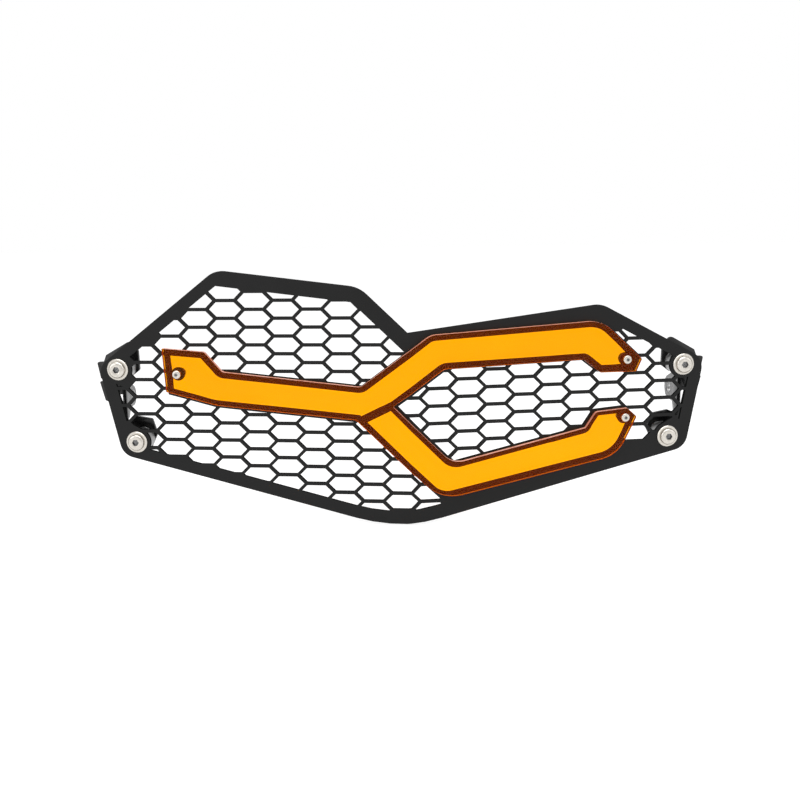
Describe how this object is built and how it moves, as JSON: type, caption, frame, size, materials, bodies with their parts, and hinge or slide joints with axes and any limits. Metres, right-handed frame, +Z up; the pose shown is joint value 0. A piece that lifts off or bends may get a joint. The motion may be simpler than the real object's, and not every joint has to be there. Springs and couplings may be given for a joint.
{
  "type": "motorcycle headlight guard",
  "caption": "Folded hexagon mesh grille plate with an amber Y-shaped accent lens, on spacers and two folded side brackets that bolt to a motorcycle's headlamp.",
  "frame": {"origin": "middle of the common axis of the two bracket lug holes", "axes": "+X across the motorcycle along the lug holes' axis, +Y back towards the motorcycle, +Z up"},
  "size_m": [0.4052, 0.0697, 0.1647],
  "materials": {
    "black_coated_sheet": "satin black powder coat on laser-cut sheet",
    "amber_plastic": "clear amber, polished",
    "black_coated_bracket": "satin black powder coat on folded sheet",
    "turned_spacer": "smooth dark anodised, turned",
    "stainless_screw": "bright stainless steel",
    "zinc_hardware": "plain zinc-plated steel",
    "black_washer": "matt black nylon"
  },
  "bodies": {
    "root": {"accent_lens": "amber_plastic", "grille_plate": "black_coated_sheet", "left_bracket": "black_coated_bracket", "left_lower_lock_nut": "zinc_hardware", "left_lower_mount_screw": "stainless_screw", "left_lower_spacer": "turned_spacer", "left_lower_washer": "zinc_hardware", "left_upper_lock_nut": "zinc_hardware", "left_upper_mount_screw": "stainless_screw", "left_upper_spacer": "turned_spacer", "left_upper_washer": "zinc_hardware", "lens_left_nut": "zinc_hardware", "lens_left_screw": "stainless_screw", "lens_left_washer": "black_washer", "lens_lower_nut": "zinc_hardware", "lens_lower_screw": "stainless_screw", "lens_lower_washer": "black_washer", "lens_upper_nut": "zinc_hardware", "lens_upper_screw": "stainless_screw", "lens_upper_washer": "black_washer", "right_bracket": "black_coated_bracket", "right_lower_lock_nut": "zinc_hardware", "right_lower_mount_screw": "stainless_screw", "right_lower_spacer": "turned_spacer", "right_lower_washer": "zinc_hardware", "right_upper_lock_nut": "zinc_hardware", "right_upper_mount_screw": "stainless_screw", "right_upper_spacer": "turned_spacer", "right_upper_washer": "zinc_hardware"}
  },
  "joints": []
}
